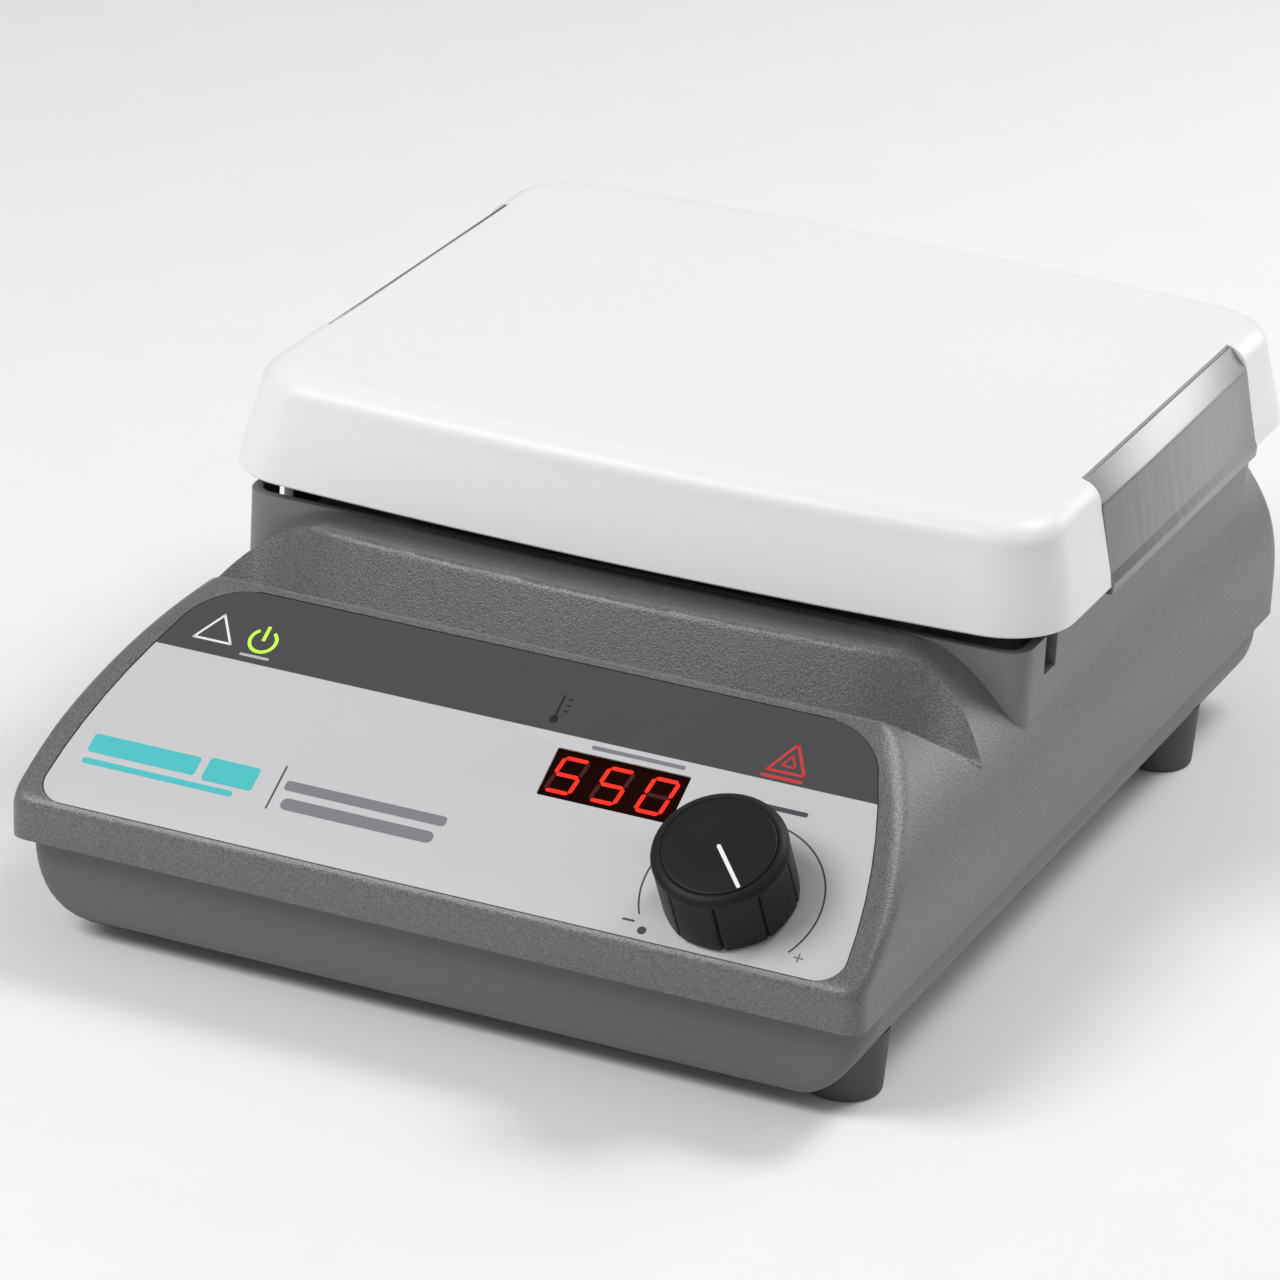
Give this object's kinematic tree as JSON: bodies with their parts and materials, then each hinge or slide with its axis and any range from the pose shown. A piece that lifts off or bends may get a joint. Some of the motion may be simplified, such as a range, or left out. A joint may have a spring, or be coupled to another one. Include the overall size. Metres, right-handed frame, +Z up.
{
  "type": "laboratory hotplate",
  "caption": "Bench hotplate with a white ceramic top, heat knob, digital display and fused mains inlet in a grey moulded housing.",
  "frame": {"origin": "on the bench, under the middle of the object's bounding box", "axes": "+X to the right, -Y towards the user and the control panel, +Z up"},
  "size_m": [0.2052, 0.2821, 0.1021],
  "materials": {
    "housing_plastic": "fine leather-like grain, satin",
    "ring_plastic": "smooth satin",
    "foot_rubber": "matt",
    "label_film": "satin printed film with a dark band along its upper edge",
    "display_lens": "deep red, glossy",
    "display_black": "black, red segments",
    "green_lens": "clear tinted",
    "red_lens": "clear tinted",
    "board": "solder mask",
    "knob_plastic": "black, satin",
    "pointer_white": "white, painted",
    "ceramic": "white glazed ceramic",
    "shield_steel": "brushed across",
    "plain_steel": "zinc plated",
    "black_steel": "matt black",
    "ceramic_fibre": "pressed fibre board",
    "mica": "pressed mica",
    "ribbon_alloy": "oxidised resistance ribbon",
    "silicone": "matt red",
    "brass": "plain",
    "transformer_core": "varnished laminations with a taped winding",
    "heat_sink_metal": "plain extruded",
    "terminal_plastic": "green",
    "wire_insulation": "braided or plain sleeving",
    "fuse_glass": "clear, with plated caps",
    "blank_plate": "silver film, blank"
  },
  "bodies": {
    "chassis": {"upper_housing": "housing_plastic", "lower_housing": "housing_plastic", "foot_front_left": "foot_rubber", "foot_front_right": "foot_rubber", "foot_rear_left": "foot_rubber", "foot_rear_right": "foot_rubber", "housing_screws": "plain_steel", "panel_label": "label_film", "display_window": "display_lens", "display_module": "display_black", "power_light_pipe": "green_lens", "hot_top_light_pipe": "red_lens", "control_board": "board", "control_board_screws": "plain_steel", "potentiometer": "knob_plastic", "potentiometer_nut": "plain_steel", "pedestal_ring": "ring_plastic", "heat_shield_pan": "black_steel", "pan_standoffs": "plain_steel", "pan_screws": "plain_steel", "insulation_pad": "ceramic_fibre", "mica_support": "mica", "heating_element": "ribbon_alloy", "plate_seal": "silicone", "top_plate": "ceramic", "side_shield_left": "shield_steel", "side_shield_right": "shield_steel", "temperature_probe": "plain_steel", "earth_stud": "brass", "power_board": "board", "power_board_screws": "plain_steel", "power_transformer": "transformer_core", "triac": "knob_plastic", "triac_heat_sink": "heat_sink_metal", "terminal_block": "terminal_plastic", "element_leads": "wire_insulation", "board_ribbon_cable": "wire_insulation", "mains_wires": "wire_insulation", "mains_inlet": "knob_plastic", "inlet_screws": "plain_steel", "rating_plate": "blank_plate"},
    "knob": {"heat_knob": "knob_plastic", "knob_pointer": "pointer_white", "potentiometer_shaft": "plain_steel"},
    "fuse_drawer": {"fuse_drawer": "knob_plastic", "fuses": "fuse_glass"}
  },
  "joints": [
    {"name": "heat_knob_turn", "type": "hinge", "parent": "chassis", "child": "knob", "pos_m": [0.0648, -0.11976, 0.04384], "axis": [0, -0.515, 0.8572], "range_deg": [0, 268]},
    {"name": "fuse_drawer_slide", "type": "slide", "parent": "chassis", "child": "fuse_drawer", "axis": [0, 1, 0], "range_m": [0, 0.022]}
  ]
}
